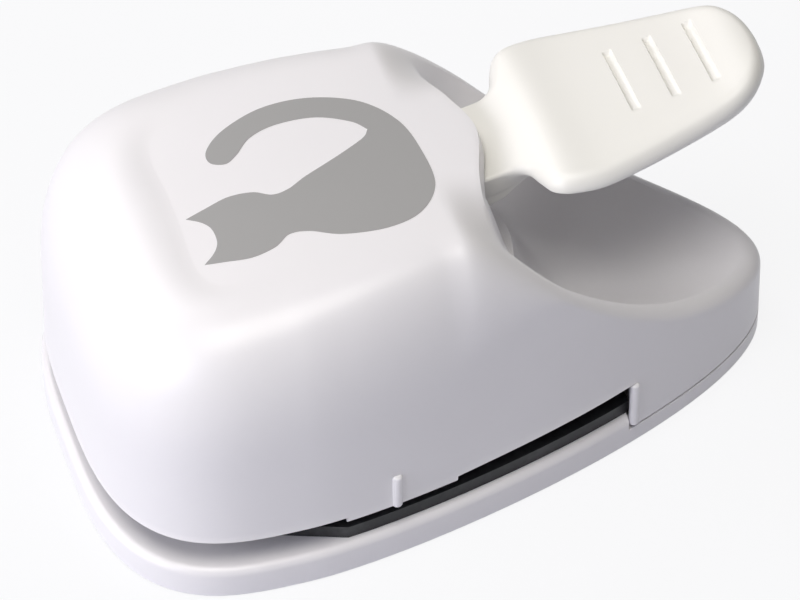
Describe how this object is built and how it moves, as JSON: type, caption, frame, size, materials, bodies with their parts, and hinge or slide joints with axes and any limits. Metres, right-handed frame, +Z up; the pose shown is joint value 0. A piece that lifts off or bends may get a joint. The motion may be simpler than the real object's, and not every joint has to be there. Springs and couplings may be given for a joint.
{
  "type": "lever craft punch",
  "caption": "Hand paper punch with a moulded white shell, a swept tail with a dished hollow, a press lever, and a sprung cat-shaped cutter over a die plate",
  "frame": {"origin": "middle of the base's bounding box, on the table", "axes": "+Z up; the paper goes in at -Y, the lever and the tail point to +Y; X is across"},
  "size_m": [0.0646, 0.1018, 0.0525],
  "materials": {
    "white_plastic": "satin moulded ABS, cool white",
    "ivory_plastic": "satin moulded ABS, warm ivory",
    "black_plate": "blackened steel sheet",
    "steel": "bright plated steel",
    "dark_plastic": "black nylon"
  },
  "bodies": {
    "body": {"base_tray": "white_plastic", "top_cover": "white_plastic", "pivot_bracket": "steel", "pivot_pin": "steel", "pin_clip": "steel", "bracket_rivet_left": "steel", "bracket_rivet_right": "steel", "die_plate": "black_plate", "guide_plate": "black_plate", "paper_stop": "black_plate", "guide_post_left": "steel", "guide_post_right": "steel", "return_spring_left": "steel", "return_spring_right": "steel", "cover_screw_1": "steel", "cover_screw_2": "steel", "cover_screw_3": "steel", "cover_screw_4": "steel", "stack_screw_left": "steel", "stack_screw_right": "steel", "tail_screw": "steel"},
    "lever": {"lever": "ivory_plastic"},
    "punch": {"punch_carrier": "dark_plastic", "punch_cutter": "steel", "cutter_screw_1": "steel", "cutter_screw_2": "steel"}
  },
  "joints": [
    {"name": "lever_press", "type": "hinge", "parent": "body", "child": "lever", "pos_m": [0, -0.038, 0.03], "axis": [-1, 0, 0], "range_deg": [0, 13], "stiffness_Nm_per_rad": 0.77, "springref_deg": -10.31},
    {"name": "punch_slide", "type": "slide", "parent": "body", "child": "punch", "axis": [0, 0, -1], "range_m": [0, 0.005], "deforming": ["return_spring_left", "return_spring_right"]}
  ],
  "couplings": [
    {"joint": "punch_slide", "follows": "lever_press", "m_per_rad": 0.022}
  ]
}
